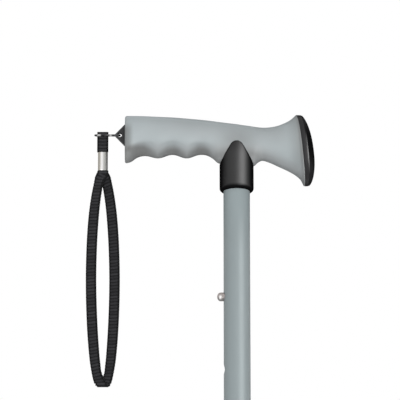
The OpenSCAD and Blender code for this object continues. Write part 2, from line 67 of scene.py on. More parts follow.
# Wrist strap: one length of ribbed black webbing, woven with thick weft bars across it.
# It is folded over the wire link, held by the crimp, and hangs as a loop with its fold at the bottom.
crimp_low, crimp_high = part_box("strap_crimp")
strap_x = (crimp_low.x + crimp_high.x) / 2
strap_y = (crimp_low.y + crimp_high.y) / 2
strap_width = 0.0080
strap_thick = 0.0013
layer_off = 0.0009
loop_half = 0.0084
loop_drop = 0.1585
leg_turn = 22
loop_lean = 0.00115
fold_slant = 0.1
rib_pitch = 0.0024
rib_lap = 1.02
leg_route = [
    (0, 0), (0, 0.012), (0.185, 0.03), (0.335, 0.055), (0.503, 0.1), (0.672, 0.162), (0.805, 0.234),
    (0.9, 0.31), (0.965, 0.395), (1, 0.5), (0.985, 0.59), (0.94, 0.67), (0.865, 0.755), (0.768, 0.83),
    (0.64, 0.9), (0.445, 0.96), (0.265, 0.985), (0.15, 0.996),
]
turn_line = [
    (0, 0), (0.015, 0), (0.05, 1.3), (0.12, 1.3), (0.25, 1), (0.5, 1), (0.78, 1), (0.9, 1.3), (0.968, 1.3),
    (0.995, 0), (1, 0),
]
level_line = [(0, 0), (0.9, 0), (0.985, 0.8), (1, 1)]


def line_at(line, s):
    """A smooth curve through the points of a line, at s."""
    x = np.array([p[0] for p in line], float)
    y = np.array([p[1] for p in line], float)
    wide = np.concatenate([[x[1] - x[0]], x[2:] - x[:-2], [x[-1] - x[-2]]])
    slope = np.concatenate([[y[1] - y[0]], y[2:] - y[:-2], [y[-1] - y[-2]]]) / wide
    i = int(np.clip(np.searchsorted(x, s, side="right") - 1, 0, len(x) - 2))
    h = x[i + 1] - x[i]
    t = min(1, max(0, (s - x[i]) / h))
    u = 1 - t
    between = y[i] * u * u * (1 + 2 * t) + y[i + 1] * t * t * (1 + 2 * u)
    return between + h * t * u * (slope[i] * u - slope[i + 1] * t)


def arc(radius, start, stop, step):
    """Points round a circle about zero, at angles in degrees."""
    turns = [math.radians(degrees) for degrees in range(start, stop, step)]
    return [(radius * math.cos(turn), radius * math.sin(turn)) for turn in turns]


def leg_points(side):
    """One leg of the loop, from the crimp down: the near left one for side -1, the far right one for side 1.
    Each point is its place, the turn of the strap there in degrees, and how level its ribs lie."""
    points = []
    for a, b in leg_route:
        points.append((
            strap_x + side * a * loop_half + b * loop_lean,
            strap_y + side * layer_off,
            crimp_low.z - b * loop_drop,
            -side * leg_turn * line_at(turn_line, b),
            line_at(level_line, b),
        ))
    return points


loop_route = leg_points(-1)
for degrees in (-75, -45, -15, 15, 45, 75):
    bend = math.radians(degrees)
    loop_route.append((
        strap_x + loop_lean + fold_slant * loop_half * math.sin(bend),
        strap_y + layer_off * math.sin(bend),
        crimp_low.z - loop_drop - layer_off * math.cos(bend),
        0,
        1,
    ))
loop_route += reversed(leg_points(1))

top_low, top_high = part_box("strap_top_loop")
eye_r = (top_high.y - top_low.y) / 2 - strap_thick / 2
eye_slack = 0.0004
eye_z = top_high.z - strap_thick / 2 - eye_r + eye_slack
eye_x = strap_x - 0.0002
lip_clear = 0.0009
neck_drop = eye_z - crimp_high.z - lip_clear
top_route = [(-layer_off, -neck_drop), (-layer_off, -neck_drop * 0.75), (-eye_r * 0.8, -neck_drop * 0.4)]
top_route += arc(eye_r, 180, -1, -20)
top_route += [(-y, z) for y, z in reversed(top_route[:3])]
top_route = [(eye_x, strap_y + y, eye_z + z, 0, 0) for y, z in top_route]


class Wire:
    """One output of a node tree. Sums and products of outputs add Math nodes to the tree."""

    def __init__(self, tree, socket=None):
        self.tree = tree
        self.socket = socket

    def node(self, kind, settings={}, inputs={}, output=0):
        made = self.tree.nodes.new(kind)
        for name, value in settings.items():
            if name == "stops":
                made.color_ramp.elements.remove(made.color_ramp.elements[1])
                made.color_ramp.elements[0].position = value[0][0]
                made.color_ramp.elements[0].color = value[0][1]
                for place, colour in value[1:]:
                    made.color_ramp.elements.new(place).color = colour
            else:
                setattr(made, name, value)
        for key, value in inputs.items():
            for one in value if isinstance(value, list) else [value]:
                if isinstance(one, Wire):
                    self.tree.links.new(one.socket, made.inputs[key])
                else:
                    made.inputs[key].default_value = one
        return Wire(self.tree, made.outputs[output])

    def math(self, operation, *others):
        return self.node("ShaderNodeMath", {"operation": operation}, dict(enumerate((self, *others))))

    def __add__(self, other):
        return self.math("ADD", other)

    def __sub__(self, other):
        return self.math("SUBTRACT", other)

    def __rsub__(self, other):
        return self.node("ShaderNodeMath", {"operation": "SUBTRACT"}, {0: other, 1: self})

    def __mul__(self, other):
        return self.math("MULTIPLY", other)

    __radd__ = __add__
    __rmul__ = __mul__

    def within(self, low, high):
        """0 below low, 1 above high, smooth between."""
        inputs = {0: self, 1: low, 2: high, 3: 0.0, 4: 1.0}
        return self.node("ShaderNodeMapRange", {"interpolation_type": "SMOOTHSTEP"}, inputs)

    def band(self, low, full, fading, gone):
        """1 from full to fading, 0 below low and above gone, smooth between."""
        return self.within(low, full) * (1 - self.within(fading, gone))

    def mix(self, colour, other):
        """The first colour where this is 0, the other where it is 1."""
        return self.node("ShaderNodeMix", {"data_type": "RGBA"}, {0: self, 6: colour, 7: other}, output=2)

    def place(self):
        """Where a point lies in its piece's own coordinates."""
        return self.node("ShaderNodeTexCoord", output=3)

    def stored(self, label):
        """A number stored in the mesh."""
        return self.node("ShaderNodeAttribute", {"attribute_name": label}, output=2)

    def axis(self, number):
        return self.node("ShaderNodeSeparateXYZ", inputs={0: self}, output=number)

    def noise(self, scale, detail, roughness=0.5):
        inputs = {"Vector": self, "Scale": scale, "Detail": detail, "Roughness": roughness}
        return self.node("ShaderNodeTexNoise", inputs=inputs)

    def bump(self, strength, depth):
        """A normal roughened by this as height."""
        return self.node("ShaderNodeBump", inputs={"Strength": strength, "Distance": depth, "Height": self})


def open_finish(name, **steady):
    """A new material, with the values that are the same all over it; its wire; its shader."""
    material = bpy.data.materials.new(name)
    material.use_nodes = True
    shader = material.node_tree.nodes["Principled BSDF"]
    for socket, value in steady.items():
        shader.inputs[socket.replace("_", " ")].default_value = value
    return material, Wire(material.node_tree), shader


def close_finish(wire, shader, **varied):
    for socket, value in varied.items():
        wire.tree.links.new(value.socket, shader.inputs[socket.replace("_", " ")])


def even_path(points, pitch):
    """A smooth curve through the points, in four even steps a pitch; also its length."""
    p = np.array(points, float)
    t = np.concatenate([[0], np.cumsum(np.linalg.norm(np.diff(p[:, :3], axis=0), axis=1))])
    slope = np.gradient(p, t, axis=0)
    fine = np.linspace(0, t[-1], 6000)
    i = np.clip(np.searchsorted(t, fine, side="right") - 1, 0, len(t) - 2)
    h = (t[i + 1] - t[i])[:, None]
    u = ((fine - t[i]) / (t[i + 1] - t[i]))[:, None]
    v = 1 - u
    curve = p[i] * v * v * (1 + 2 * u) + p[i + 1] * u * u * (1 + 2 * v)
    curve += h * u * v * (slope[i] * v - slope[i + 1] * u)
    run = np.concatenate([[0], np.cumsum(np.linalg.norm(np.diff(curve[:, :3], axis=0), axis=1))])
    at = np.linspace(0, run[-1], 4 * int(round(run[-1] / pitch)) + 1)
    return np.stack([np.interp(at, run, column) for column in curve.T], axis=1), run[-1]


def strap_axes(path):
    """Unit vectors along the strap, across it and out of its face, at each point of its path."""
    along = np.gradient(path[:, :3], axis=0)
    along[:, 0] *= 1 - path[:, 4]
    along /= np.linalg.norm(along, axis=1)[:, None]
    level = np.array([1.0, 0, 0]) - along[:, :1] * along
    level /= np.linalg.norm(level, axis=1)[:, None]
    turned = np.radians(path[:, 3:4])
    across = level * np.cos(turned) + np.cross(along, level) * np.sin(turned)
    return along, across, np.cross(along, across)


def add_mesh(name, points, faces, uv=None):
    """A smooth mesh object; uv gives one pair for each corner of the faces, in order."""
    mesh = bpy.data.meshes.new(name)
    mesh.from_pydata([tuple(map(float, p)) for p in points], [], [tuple(map(int, f)) for f in faces])
    if uv is not None:
        layer = mesh.uv_layers.new(name="UVMap")
        layer.data.foreach_set("uv", np.asarray(uv, np.float32).ravel())
    mesh.polygons.foreach_set("use_smooth", [True] * len(mesh.polygons))
    mesh.update()
    made = bpy.data.objects.new(name, mesh)
    bpy.context.scene.collection.objects.link(made)
    return made


def skin(rings):
    """Faces and corner UVs of a closed tube of rings, each with the same number of points."""
    count, sides = rings.shape[:2]
    faces, uv = [], []
    for i in range(count - 1):
        for k in range(sides):
            n = (k + 1) % sides
            faces.append((i * sides + k, i * sides + n, (i + 1) * sides + n, (i + 1) * sides + k))
            u0, u1 = k / sides, (k + 1) / sides
            v0, v1 = i / (count - 1), (i + 1) / (count - 1)
            uv += [(u0, v0), (u1, v0), (u1, v1), (u0, v1)]
    faces.append(tuple(range(sides))[::-1])
    faces.append(tuple(range((count - 1) * sides, count * sides)))
    uv += [(0.5, 0.5)] * (2 * sides)
    return faces, uv


def recipe(name, inputs):
    """An empty geometry tree with these named inputs: its wire, its input node."""
    tree = bpy.data.node_groups.new(name, "GeometryNodeTree")
    tree.interface.new_socket("Geometry", in_out="INPUT", socket_type="NodeSocketGeometry")
    for label, kind in inputs.items():
        tree.interface.new_socket(label, in_out="INPUT", socket_type=kind)
    tree.interface.new_socket("Geometry", in_out="OUTPUT", socket_type="NodeSocketGeometry")
    return Wire(tree), tree.nodes.new("NodeGroupInput")


def serve(wire, geometry):
    """Ends a geometry tree."""
    end = wire.tree.nodes.new("NodeGroupOutput")
    wire.tree.links.new(geometry.socket, end.inputs[0])
    return wire.tree


def settle(piece, modifier):
    """Leaves what a modifier makes of a piece in it, as a plain mesh."""
    graph = bpy.context.evaluated_depsgraph_get()
    mesh = bpy.data.meshes.new_from_object(piece.evaluated_get(graph))
    piece.modifiers.remove(modifier)
    piece.data = mesh


def grow(carrier, tree, values):
    """Runs a geometry tree on a mesh object and leaves the result in it."""
    modifier = carrier.modifiers.new("recipe", "NODES")
    modifier.node_group = tree
    for item in tree.interface.items_tree:
        if item.in_out == "INPUT" and item.name in values:
            modifier[item.identifier] = values[item.name]
    settle(carrier, modifier)


def mark_points(mesh, label, numbers):
    """Stores one number for each point of a mesh."""
    mesh.attributes.new(label, "FLOAT", "POINT").data.foreach_set("value", np.asarray(numbers, np.float32))


# one weft bar of the weave, a unit long each way, rounded at its ends
bar_rings = []
bar_ends = [(0.2, 1), (0.46, 1), (0.49, 0.8), (0.5, 0.5)]
for x, size in [(-x, size) for x, size in reversed(bar_ends)] + bar_ends:
    turns = np.radians(np.arange(360, 0, -36))
    bar_rings.append(np.stack([
        np.full(len(turns), x),
        0.5 * size * np.sign(np.sin(turns)) * np.abs(np.sin(turns)) ** 0.8,
        0.5 * np.cos(turns),
    ], axis=1))
bar_rings = np.array(bar_rings)
weft_bar = add_mesh("weft_bar", bar_rings.reshape(-1, 3), *skin(bar_rings))
mark_points(weft_bar.data, "across_share", bar_rings[:, :, 0].ravel())
mark_points(weft_bar.data, "rib_share", bar_rings[:, :, 2].ravel())

webbing, w, shader = open_finish(
    "woven webbing", Specular_IOR_Level=0.08, Sheen_Weight=0.03, Sheen_Roughness=0.5)
across_share = w.stored("across_share")
yarn = (across_share * 165).math("SINE") * 0.5 + 0.5
shade = w.stored("bar_shade")
place = w.place()
fuzz = place.noise(1800.0, 4.0)
tone = yarn * 0.35 + fuzz * 0.35 + shade * 0.3
# painted shade: both edges of the strap are darkened, and so are the gaps between the weft bars and the band
# under them
edge_shade = across_share.math("ABSOLUTE").within(0.27, 0.42)
between = w.stored("rib_share").math("ABSOLUTE").within(0.2, 0.46)
cloth = tone.mix((0.008, 0.008, 0.0089, 1), (0.058, 0.058, 0.063, 1))
cloth = (edge_shade * 0.85 + between * 0.66).math("MINIMUM", 1.0).mix(cloth, (0.004, 0.004, 0.0043, 1))
close_finish(
    w, shader, Base_Color=cloth, Roughness=tone * 0.2 + 0.66,
    Normal=(yarn * 0.7 + fuzz * 0.5).bump(0.5, 0.00015))

weave_wire, given = recipe("ribbed weave", {
    "Band": "NodeSocketObject", "Bar": "NodeSocketObject", "Width": "NodeSocketFloat",
    "Thickness": "NodeSocketFloat", "Bar pitch": "NodeSocketFloat", "Seed": "NodeSocketInt",
    "Cloth": "NodeSocketMaterial"})
take = {s.name: Wire(weave_wire.tree, s) for s in given.outputs if s.name}
n = weave_wire.node
stand = n("FunctionNodeAxesToRotation", {"primary_axis": "Z", "secondary_axis": "X"}, {
    0: n("GeometryNodeInputNamedAttribute", {"data_type": "FLOAT_VECTOR"}, {"Name": "along"}),
    1: n("GeometryNodeInputNamedAttribute", {"data_type": "FLOAT_VECTOR"}, {"Name": "across"})})
size = n("ShaderNodeCombineXYZ", inputs={
    0: take["Width"], 1: take["Thickness"], 2: take["Bar pitch"] * rib_lap})
bars = n("GeometryNodeInstanceOnPoints", inputs={
    "Points": take["Geometry"], "Rotation": stand, "Scale": size,
    "Instance": n("GeometryNodeObjectInfo", inputs={0: take["Bar"]}, output="Geometry")})
bars = n("GeometryNodeStoreNamedAttribute", {"data_type": "FLOAT", "domain": "INSTANCE"}, {
    "Geometry": bars, "Name": "bar_shade",
    "Value": n("FunctionNodeRandomValue", {"data_type": "FLOAT"}, {"Seed": take["Seed"]}, output=1)})
bars = n("GeometryNodeRealizeInstances", inputs={0: bars})
band = n("GeometryNodeObjectInfo", inputs={0: take["Band"]}, output="Geometry")
both = n("GeometryNodeJoinGeometry", inputs={0: [bars, band]})
both = n("GeometryNodeSetMaterial", inputs={"Geometry": both, "Material": take["Cloth"]})
weave_tree = serve(weave_wire, both)


def weave_strap(name, route, seed):
    """A stretch of webbing along the route: a thin band with a weft bar every pitch. Also its length."""
    path, length = even_path(route, rib_pitch)
    along, across, out = strap_axes(path)
    rings, shares = [], []
    for a, b in ((0.46, 0.33), (-0.46, 0.33), (-0.5, 0.16), (-0.5, -0.16),
                 (-0.46, -0.33), (0.46, -0.33), (0.5, -0.16), (0.5, 0.16)):
        rings.append(path[:, :3] + across * strap_width * a + out * strap_thick * b)
        shares.append(a)
    rings = np.stack(rings, axis=1)
    band = add_mesh(name + "_band", rings.reshape(-1, 3), *skin(rings))
    mark_points(band.data, "across_share", np.tile(shares, len(path)))
    mark_points(band.data, "rib_share", np.full(len(band.data.vertices), 0.5))
    points = bpy.data.meshes.new(name)
    points.from_pydata([tuple(map(float, p)) for p in path[2::4, :3]], [], [])
    for label, vectors in (("along", along), ("across", across)):
        stored = points.attributes.new(label, "FLOAT_VECTOR", "POINT")
        stored.data.foreach_set("vector", vectors[2::4].astype(np.float32).ravel())
    strap = bpy.data.objects.new(name, points)
    bpy.context.scene.collection.objects.link(strap)
    grow(strap, weave_tree, {
        "Band": band, "Bar": weft_bar, "Width": strap_width, "Thickness": strap_thick,
        "Bar pitch": rib_pitch, "Seed": seed, "Cloth": webbing})
    bpy.data.objects.remove(band)
    return strap, length


wrist_webbing, wrist_length = weave_strap("wrist_webbing", loop_route, 3)
link_webbing, _ = weave_strap("link_webbing", top_route, 5)
bpy.data.objects.remove(weft_bar)
for piece, node in ((wrist_webbing, "wrist_loop"), (link_webbing, "strap_top_loop")):
    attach(piece, "strap")
    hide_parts(node)

# Crimp: a short nickel-plated tube pressed flat round both layers of the webbing.
# Its sides are straight and its ends are rolled in a little.
crimp_half = (crimp_high - crimp_low) / 2
crimp_lip = 0.0004
crimp_rings = []
for share, grow_by in (
        (0.0, 0.84), (0.004, 0.92), (0.02, 0.98), (0.05, 1.0), (0.35, 1.0), (0.65, 1.0), (0.95, 1.0),
        (0.98, 0.98), (0.996, 0.92), (1.0, 0.84)):
    turns = np.radians(np.arange(0, 360, 7.5))
    crimp_rings.append(np.stack([
        strap_x + crimp_half.x * grow_by * np.sign(np.cos(turns)) * np.abs(np.cos(turns)) ** 0.5,
        strap_y + crimp_half.y * grow_by * np.sign(np.sin(turns)) * np.abs(np.sin(turns)) ** 0.5,
        np.full(len(turns), crimp_low.z + share * (2 * crimp_half.z + crimp_lip)),
    ], axis=1))
crimp_rings = np.array(crimp_rings)
crimp = add_mesh("crimp_sleeve", crimp_rings.reshape(-1, 3), *skin(crimp_rings))

nickel, w, shader = open_finish("nickel plate", Specular_IOR_Level=0.1)
place = w.place()
drawn = w.node("ShaderNodeMapping", inputs={"Vector": place, "Scale": (900, 900, 60)})
lines = drawn.noise(1.5, 5.0, 0.6)
smudge = place.noise(260.0, 2.0)
# painted reflection: the base colour runs in bright and dark bands across the sleeve's width, brightest left
# of the middle; painted shade: at the right edge a strip turns to dark matt
width_share = (place.axis(0) - crimp_low.x) * (0.5 / crimp_half.x)
reflection_bands = w.node("ShaderNodeValToRGB", {"stops": [
    (0.04, (0.30, 0.28, 0.24, 1)), (0.18, (0.42, 0.40, 0.35, 1)), (0.34, (0.90, 0.88, 0.87, 1)),
    (0.42, (0.95, 0.94, 0.94, 1)), (0.60, (0.48, 0.48, 0.46, 1)), (0.76, (0.33, 0.33, 0.32, 1)),
    (0.80, (0.10, 0.10, 0.097, 1))]}, {0: width_share + (lines - 0.5) * 0.02})
plate = (smudge * 0.35).mix(reflection_bands, (0.30, 0.30, 0.29, 1))
scratch = lines.bump(0.06, 0.00002)
shaded_edge = width_share.within(0.77, 0.83)
close_finish(
    w, shader, Base_Color=plate, Metallic=1 - shaded_edge,
    Roughness=lines * 0.10 + smudge * 0.06 + 0.16, Normal=scratch)
crimp.data.materials.append(nickel)
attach(crimp, "strap")
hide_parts("strap_crimp")

# Wire link: steel wire bent to an oblong ring, through the hole of the tab, its ends meeting on the far side.
# It lies nearly level, tipped up at the back, and the webbing hangs from its back run.
link_low, link_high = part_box("wire_link")
wire_r = 0.00075
link_tilt = math.radians(16)
link_bend = 0.00153
half_x = (link_high.x - link_low.x) / 2 - wire_r
half_y = ((link_high.y - link_low.y) / 2 - wire_r) / math.cos(link_tilt)
link_x = (link_low.x + link_high.x) / 2
link_z = (link_low.z + link_high.z) / 2
link_points = []
for start, sx, sy in ((0, 1, 1), (90, -1, 1), (180, -1, -1), (270, 1, -1)):
    for round_x, round_y in arc(link_bend, start, start + 91, 10):
        x = sx * (half_x - link_bend) + round_x
        y = sy * (half_y - link_bend) + round_y
        link_points.append((link_x + x, y * math.cos(link_tilt), link_z + y * math.sin(link_tilt)))
link_mesh = bpy.data.meshes.new("link_wire")
link_mesh.from_pydata(link_points, [(i, (i + 1) % len(link_points)) for i in range(len(link_points))], [])
link_wire = bpy.data.objects.new("link_wire", link_mesh)
bpy.context.scene.collection.objects.link(link_wire)

wire_wire, given = recipe("bent wire", {
    "Wire radius": "NodeSocketFloat", "Sides": "NodeSocketInt", "Metal": "NodeSocketMaterial"})
take = {s.name: Wire(wire_wire.tree, s) for s in given.outputs if s.name}
n = wire_wire.node
line = n("GeometryNodeMeshToCurve", inputs={0: take["Geometry"]})
round_wire = n("GeometryNodeCurvePrimitiveCircle", inputs={
    "Radius": take["Wire radius"], "Resolution": take["Sides"]})
rod = n("GeometryNodeCurveToMesh", inputs={"Curve": line, "Profile Curve": round_wire})
rod = n("GeometryNodeSetShadeSmooth", inputs={"Geometry": rod})
rod = n("GeometryNodeRealizeInstances", inputs={0: rod})
rod = n("GeometryNodeSetMaterial", inputs={"Geometry": rod, "Material": take["Metal"]})
wire_tree = serve(wire_wire, rod)

bright, w, shader = open_finish("bright wire", Metallic=1.0)
place = w.place()
rub = place.noise(420.0, 3.0)
fine = place.noise(2400.0, 2.0)
tarnish = rub.within(0.35, 0.7).mix((0.022, 0.022, 0.023, 1), (0.10, 0.10, 0.105, 1))
# painted highlights: the wire is painted bright under the left part of the strap and just right of it
along = place.axis(0) - strap_x
glint_under_strap = along.band(-0.0042, -0.0034, -0.0022, -0.0008)
glint_beside_strap = along.band(0.0042, 0.0055, 0.0058, 0.0072)
painted_glints = glint_under_strap * 0.6 + glint_beside_strap * 0.45
close_finish(
    w, shader, Base_Color=(painted_glints * 0.9).mix(tarnish, (0.80, 0.80, 0.79, 1)),
    Roughness=rub * 0.15 + fine * 0.08 + 0.12,
    Normal=fine.bump(0.08, 0.00003))
grow(link_wire, wire_tree, {"Wire radius": wire_r, "Sides": 20, "Metal": bright})
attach(link_wire, "link")
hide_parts("wire_link")

# Core: the black moulding inside the handle, satin with the fine grain of a blasted mould. Its neck takes
# the shaft tube and its pointed arch is let into the gel. The tab for the strap is a charcoal moulding of its
# own, pressed into the front end.
moulding, w, shader = open_finish("satin black moulding", Specular_IOR_Level=0.5)
place = w.place()
grain = place.noise(3200.0, 2.0)
rub = place.noise(90.0, 4.0)
black = rub.mix((0.004, 0.004, 0.0042, 1), (0.008, 0.008, 0.0083, 1))
skin_bump = grain.bump(0.22, 0.00004)
close_finish(w, shader, Base_Color=black, Roughness=rub * 0.08 + grain * 0.05 + 0.42, Normal=skin_bump)


def dull_edge(wire, shader, colour, low, high, also=0):
    """Takes the gloss off a surface where it is seen at a flat angle, and where the mask also says so."""
    dull = wire.node("ShaderNodeLayerWeight", output=1).within(low, high).math("MAXIMUM", also)
    matt = wire.node("ShaderNodeBsdfPrincipled", inputs={
        "Base Color": colour, "Roughness": 1.0, "Specular IOR Level": 0.0})
    gloss = Wire(wire.tree, shader.outputs[0])
    both = wire.node("ShaderNodeMixShader", inputs={0: dull, 1: gloss, 2: matt})
    wire.tree.links.new(both.socket, wire.tree.nodes["Material Output"].inputs[0])


core_low, core_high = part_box("handle_core")
neck_z = core_low.z
neck_half = (core_high.y - core_low.y) / 2
flank_z = neck_z + 0.0198
arch_r = 0.0053
point_z = flank_z + 0.0153 - arch_r


def past_arch(wire, place):
    """How far a place lies outside the outline of the arch, seen from the side; below zero inside it."""
    wide = place.axis(0).math("ABSOLUTE")
    rise = place.axis(2) - point_z
    past = rise - arch_r
    for degrees in (31, 60):
        turn = math.radians(degrees)
        past = past.math("MAXIMUM", wide * math.cos(turn) + rise * math.sin(turn) - arch_r)
    return past


# painted shade: the gloss gives way to matt black at the foot of the neck, just inside the outline of the
# arch, and towards its tip
height = place.axis(2)
neck_lip_shade = height.band(neck_z - 0.001, neck_z, neck_z + 0.001, neck_z + 0.0041)
seam_shade = past_arch(w, place).within(-0.0016, -0.0001) * height.within(flank_z - 0.002, flank_z) * 0.8
arch_tip_shade = height.within(point_z - 0.006, point_z + 0.006) * 0.42
painted_shade_places = neck_lip_shade.math("MAXIMUM", seam_shade).math("MAXIMUM", arch_tip_shade)
dull_edge(w, shader, (0.006, 0.006, 0.0063, 1), 0.06, 0.55, painted_shade_places)


def dress(node, material):
    """Gives a CAD node its finish."""
    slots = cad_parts[node].data.materials
    slots.clear()
    slots.append(material)


dress("handle_core", moulding)
charcoal, w, shader = open_finish("charcoal moulding", Specular_IOR_Level=0.12)
place = w.place()
grain = place.noise(2600.0, 2.0)
rub = place.noise(260.0, 3.0)
close_finish(
    w, shader, Base_Color=rub.mix((0.047, 0.047, 0.048, 1), (0.068, 0.068, 0.0695, 1)),
    Roughness=grain * 0.1 + 0.55,
    Normal=grain.bump(0.2, 0.00004))
dress("strap_tab", charcoal)

# Grip: soft grey gel cast round the core, with three finger grooves below and a flared heel behind.
# It is lofted from a top line, an underside line and a width. In the grooves its sections are rounder below
# and scooped at the sides.
grip_low, grip_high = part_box("grip_gel")
grip_front = -grip_low.x
grip_back = 0.0459
grip_rise = 0.0571
heel_half = (grip_high.y - grip_low.y) / 2
heel_lean = math.tan(math.radians(6))
heel_curl = np.array((0.0007, 0.00015))
curl_from = 0.9
groove_depth = 0.0021
groove_pitch = 0.0205
groove_first = 0.0139
groove_round = 0.3
scoop_share = 0.28
scoop_from = 0.5
scoop_over = 0.3
section_power = 2.3
widest_at = 0.52
top_line = [
    (-1, 0.989), (-0.82, 0.98), (-0.52, 0.958), (-0.24, 0.922), (0, 0.883), (0.2, 0.858), (0.4, 0.832),
    (0.52, 0.834), (0.65, 0.851), (0.78, 0.886), (0.87, 0.919), (0.94, 0.957), (1, 0.991),
]
low_line = [
    (-1, 0.383), (-0.95, 0.404), (-0.9, 0.436), (-0.827, 0.439), (-0.7, 0.457), (-0.573, 0.455),
    (-0.446, 0.456), (-0.319, 0.455), (-0.25, 0.462), (-0.21, 0.445), (-0.16, 0.386), (0, 0.36),
    (0.27, 0.348), (0.33, 0.392), (0.4, 0.421), (0.52, 0.394), (0.65, 0.343), (0.76, 0.298),
    (0.87, 0.245), (0.94, 0.196), (0.975, 0.155), (1, 0.092),
]
side_line = [
    (-1, 0.655), (-0.93, 0.7), (-0.75, 0.728), (-0.5, 0.709), (-0.25, 0.64), (0, 0.56), (0.33, 0.58),
    (0.52, 0.641), (0.7, 0.738), (0.83, 0.84), (0.94, 0.951), (1, 1),
]
lean_line = [(-1, 0), (0.2, 0), (0.6, 0.4), (0.85, 0.85), (1, 1)]


def grip_ring(s, inset, shift, sides, turn=0, curl=(0, 0)):
    """One section of the handle, at share s of its length: drawn in by inset, moved along X by shift,
    leaned by turn, its upper and lower ends curled forward by curl."""
    x = s * (grip_front if s < 0 else grip_back)
    k = (x + grip_front - groove_first) / groove_pitch
    groove = 0.5 + 0.5 * math.cos(2 * math.pi * k) if -0.5 <= k <= 2.5 else 0
    top = grip_rise * line_at(top_line, s)
    low = grip_rise * line_at(low_line, s) + groove_depth * groove
    mid = low + (top - low) * widest_at
    half = heel_half * line_at(side_line, s)
    turns = 2 * np.pi * np.arange(sides) / sides
    under = np.sin(turns) < 0
    power = np.where(under, 2 / (section_power - groove_round * groove), 2 / section_power)
    rise = np.where(under, mid - low, top - mid)
    drop = np.abs(np.sin(turns)) ** power
    z = mid + inset * rise * np.sign(np.sin(turns)) * drop
    y = inset * half * np.sign(np.cos(turns)) * np.abs(np.cos(turns)) ** power
    scoop = np.clip((drop - scoop_from) / scoop_over, 0, 1)
    y *= 1 - np.where(under, scoop_share * groove * scoop * scoop * (3 - 2 * scoop), 0)
    lean = heel_lean * line_at(lean_line, s) + math.tan(turn)
    ends = (2 * z - top - low) / (top - low)
    curled = ends ** 2 * np.where(ends > 0, curl[0], curl[1])
    return np.stack([x + shift - lean * (z - (top + low) / 2) - curled, y, neck_z + z], axis=1)


grip_sides = 128
grip_steps = 230
end_round = 0.0016
end_inset = 0.925
rim_from = 0.985
grip_rings = [grip_ring(-1, inset, 0, grip_sides) for inset in (0.2, 0.5, 0.75)]
for degrees in range(0, 90, 15):
    turn = math.radians(degrees)
    back = (1 - math.cos(turn)) * end_round / grip_front
    grip_rings.append(grip_ring(-1 + back, end_inset + (1 - end_inset) * math.sin(turn), 0, grip_sides))
for s in np.linspace(-1 + end_round / grip_front, rim_from, grip_steps):
    near_heel = max(0.0, (float(s) - curl_from) / (1 - curl_from))
    grip_rings.append(grip_ring(float(s), 1, 0, grip_sides, curl=heel_curl * near_heel ** 2))
for shift, inset in ((0.0003, 1), (0.0007, 0.998), (0.0009, 0.99), (0.0010, 0.975)):
    grip_rings.append(grip_ring(1, inset, shift, grip_sides, curl=heel_curl))
grip_rings = np.array(grip_rings)
grip = add_mesh("gel_grip", grip_rings.reshape(-1, 3), *skin(grip_rings))

# the pointed arch of the core shows through a window in the gel
window_low = neck_z - 0.001
window_deep = 0.03
arch_outline = [(neck_half, window_low), (neck_half, flank_z)]
arch_outline += [(x, point_z + z) for x, z in arc(arch_r, 31, 150, 7)]
arch_outline += [(-neck_half, flank_z), (-neck_half, window_low)]
window_rings = np.array([[(x, y, z) for x, z in arch_outline] for y in (window_deep, -window_deep)])
window = add_mesh("arch_window", window_rings.reshape(-1, 3), *skin(window_rings))
cut = grip.modifiers.new("window", "BOOLEAN")
cut.operation = "DIFFERENCE"
cut.object = window
settle(grip, cut)
grip.data.set_sharp_from_angle(angle=math.radians(40))
bpy.data.objects.remove(window)

gel, w, shader = open_finish("grey gel", Specular_IOR_Level=0.25, Sheen_Weight=0.04, Sheen_Roughness=0.4)
place = w.place()
grain = place.noise(2600.0, 3.0)
cloud = place.noise(45.0, 3.0)
grey = cloud.mix((0.410, 0.455, 0.467, 1), (0.446, 0.491, 0.504, 1))
along = place.axis(0)
height = place.axis(2)

# painted shade darkens the gel towards the rim and in a line along it, beside the tab, and along the front
# end
heel_z = neck_z + 0.031
to_rim = along + (height - heel_z) * heel_lean
rim_shade = to_rim.within(0.0350, 0.0470) * height.within(neck_z + 0.008, neck_z + 0.024) * 0.5
rim_shade = rim_shade + to_rim.within(0.0440, 0.0462) * 0.35
from_end = along + grip_front
beside_tab = height.band(flank_z + 0.0055, flank_z + 0.012, flank_z + 0.022, flank_z + 0.031)
tab_shade = (1 - from_end.within(0.0020, 0.0070)) * beside_tab * 0.66
tab_shade = tab_shade + (1 - from_end.within(0.0005, 0.0024)) * 0.12

# painted shade in three pockets under the finger grooves, the first of them drawn out forward, and less on
# the lips between
from_middle = along + (grip_front - groove_first - groove_pitch - 0.0002)
from_middle = from_middle - from_middle.math("MINIMUM", 0.0) * 0.07
from_middle = from_middle - (from_middle + groove_pitch).math("MINIMUM", 0.0) * 0.35
finger = (from_middle * (2 * math.pi / groove_pitch)).math("COSINE") * 0.5 + 0.5
middle = 1 - from_middle.math("ABSOLUTE").within(0.004, 0.012)
pocket_z = neck_z + 0.0280
pocket_top = finger.math("POWER", 0.5) * 0.0058 - middle * 0.0004 + pocket_z
pocket_top = pocket_top - along.within(-0.063, -0.052) * 0.0003
in_front = 1 - along.within(-0.021, -0.015)
pocket_shade = (1 - (height - pocket_top).within(-0.0035, 0.0008)) * in_front
lip_shade = height.band(pocket_z - 0.004, pocket_z, pocket_z + 0.0005, pocket_z + 0.0070)
lip_shade = lip_shade * (1 - finger) * in_front * 0.11

# painted shade round the arch too, but not at the foot of the flanks
past = past_arch(w, place)
flank_shade = (1 - height.within(flank_z + 0.004, flank_z + 0.0125)) * (1 - past.within(0.001, 0.009))
arch_shade = (1 - past.within(0.0, 0.016)).math("POWER", 1.4) * 0.44 + flank_shade * 0.36
arch_shade = arch_shade * (height.within(neck_z + 0.0202, neck_z + 0.0268) * 0.85 + 0.15)
